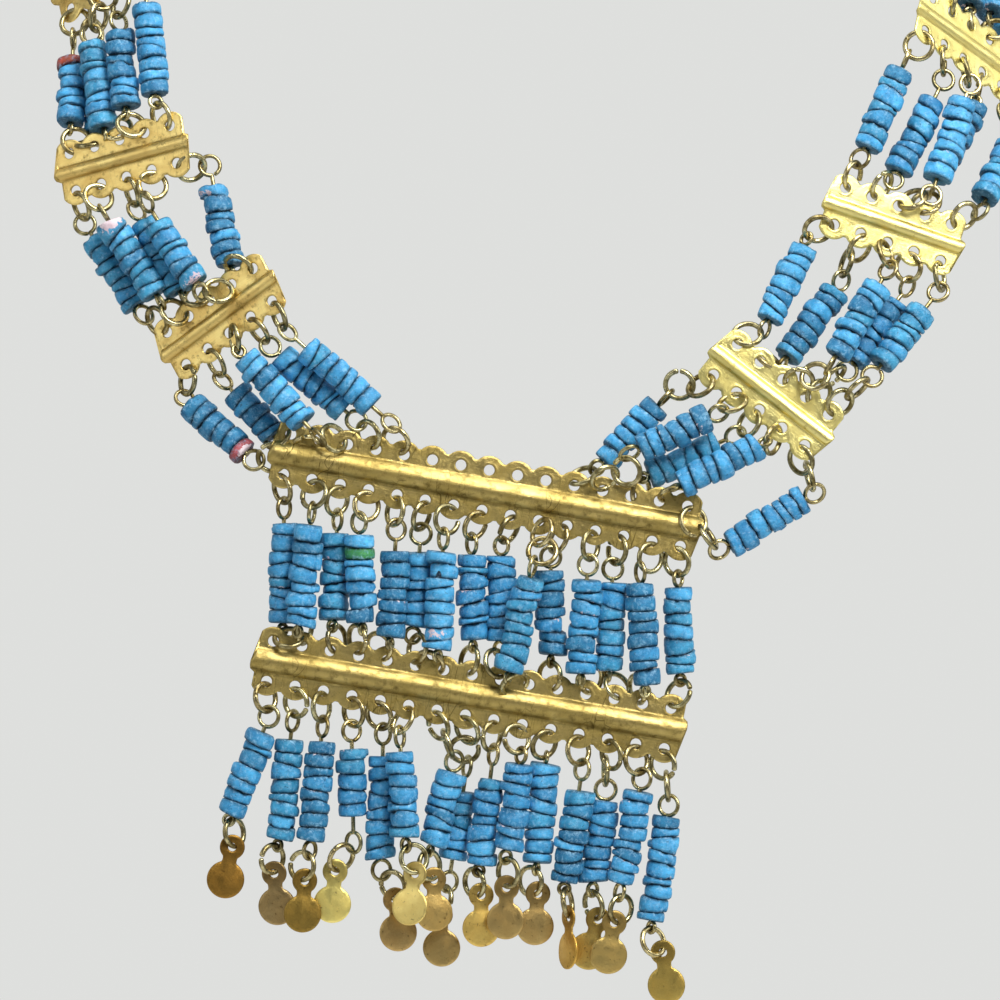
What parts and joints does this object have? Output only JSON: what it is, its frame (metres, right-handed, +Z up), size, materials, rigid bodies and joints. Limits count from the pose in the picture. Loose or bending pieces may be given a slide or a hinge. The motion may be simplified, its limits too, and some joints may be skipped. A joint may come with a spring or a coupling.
{
  "type": "bib necklace",
  "caption": "Bib necklace: two long scalloped brass bars with a curtain of blue clay bead strings, a fringe of brass drops, and five-string straps on short bars.",
  "frame": {"origin": "the nape, in the middle of the hook that closes the loop", "axes": "+X to the wearer's left, +Y back towards the nape, +Z up; the bib hangs in front, facing -Y"},
  "size_m": [0.165, 0.1111, 0.2029],
  "materials": {
    "bar_brass": "dull gold, stamped and scratched",
    "drop_brass": "satin, tarnished",
    "ring_brass": "antique",
    "clay": "matte, scuffed"
  },
  "bodies": {
    "root": {"bib_bar_upper": "bar_brass", "bib_bar_lower": "bar_brass", "strap_bar_left_1": "bar_brass", "strap_bar_left_2": "bar_brass", "strap_bar_left_3": "bar_brass", "strap_bar_left_4": "bar_brass", "strap_bar_right_1": "bar_brass", "strap_bar_right_2": "bar_brass", "strap_bar_right_3": "bar_brass", "strap_bar_right_4": "bar_brass", "bib_beads_1": "clay", "bib_beads_2": "clay", "bib_beads_3": "clay", "strap_beads_left_1": "clay", "strap_beads_left_2": "clay", "strap_beads_left_3": "clay", "strap_beads_left_4": "clay", "strap_beads_right_1": "clay", "strap_beads_right_2": "clay", "strap_beads_right_3": "clay", "strap_beads_right_4": "clay", "fringe_beads_01": "clay", "fringe_beads_02": "clay", "fringe_beads_03": "clay", "fringe_beads_04": "clay", "fringe_beads_05": "clay", "fringe_beads_06": "clay", "fringe_beads_07": "clay", "fringe_beads_08": "clay", "fringe_beads_09": "clay", "fringe_beads_10": "clay", "fringe_beads_11": "clay", "fringe_beads_12": "clay", "fringe_beads_13": "clay", "fringe_beads_14": "clay", "fringe_beads_15": "clay", "drop_01": "drop_brass", "drop_02": "drop_brass", "drop_03": "drop_brass", "drop_04": "drop_brass", "drop_05": "drop_brass", "drop_06": "drop_brass", "drop_07": "drop_brass", "drop_08": "drop_brass", "drop_09": "drop_brass", "drop_10": "drop_brass", "drop_11": "drop_brass", "drop_12": "drop_brass", "drop_13": "drop_brass", "drop_14": "drop_brass", "drop_15": "drop_brass", "neck_chain_left": "ring_brass", "neck_chain_right": "ring_brass", "clasp_hook": "ring_brass"}
  },
  "joints": []
}
